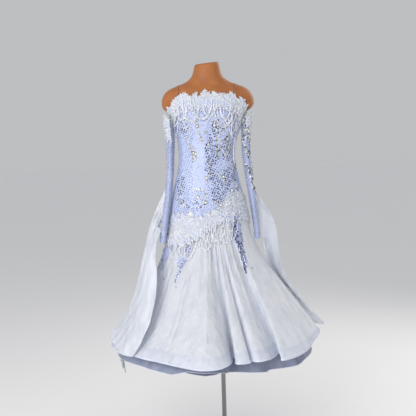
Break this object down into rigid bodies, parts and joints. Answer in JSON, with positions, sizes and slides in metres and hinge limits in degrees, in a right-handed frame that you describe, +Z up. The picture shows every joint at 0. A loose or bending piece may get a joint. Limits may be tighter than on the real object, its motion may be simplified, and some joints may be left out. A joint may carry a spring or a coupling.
{
  "type": "ballroom dance dress on a dress form stand",
  "caption": "Long ballroom dress with fitted lace-edged bodice, separate sleeves with floats and a flared layered skirt, on a limbless dress form, pole and round base.",
  "frame": {"origin": "centre of the underside of the stand's round base, on the floor", "axes": "+Z up along the pole and the form, the dress faces -Y, +X is on the right of the front view"},
  "size_m": [0.9567, 0.9012, 1.6609],
  "materials": {
    "chrome": "polished steel tube and base",
    "jersey": "tan jersey stretched over the form",
    "lycra": "pale periwinkle stretch cloth, satin side out",
    "guipure": "off-white corded lace",
    "chiffon": "pale grey-blue chiffon, matt",
    "net": "fine bluish net",
    "satin": "satin-bound hem edge",
    "mesh": "pale periwinkle stretch mesh",
    "glass_beads": "strings of small pale beads",
    "nude_elastic": "thin nude elastic"
  },
  "bodies": {
    "root": {"form_base": "chrome", "form_pole": "chrome", "dress_form": "jersey", "bodice_front": "lycra", "bodice_back_left": "lycra", "bodice_back_right": "lycra", "neckline_lace": "guipure", "hip_lace": "guipure", "sleeve_left_lace": "guipure", "sleeve_right_lace": "guipure", "yoke_point_left_inner": "guipure", "yoke_point_left_outer": "guipure", "yoke_point_right": "guipure", "skirt_front": "chiffon", "skirt_back": "chiffon", "float_left": "chiffon", "float_right": "chiffon", "underskirt_middle": "net", "underskirt_inner": "net", "hem_binding": "satin", "sleeve_left": "mesh", "sleeve_right": "mesh", "bust_bead_strings": "glass_beads", "hip_bead_strings": "glass_beads", "strap_left": "nude_elastic", "strap_right": "nude_elastic"}
  },
  "joints": []
}
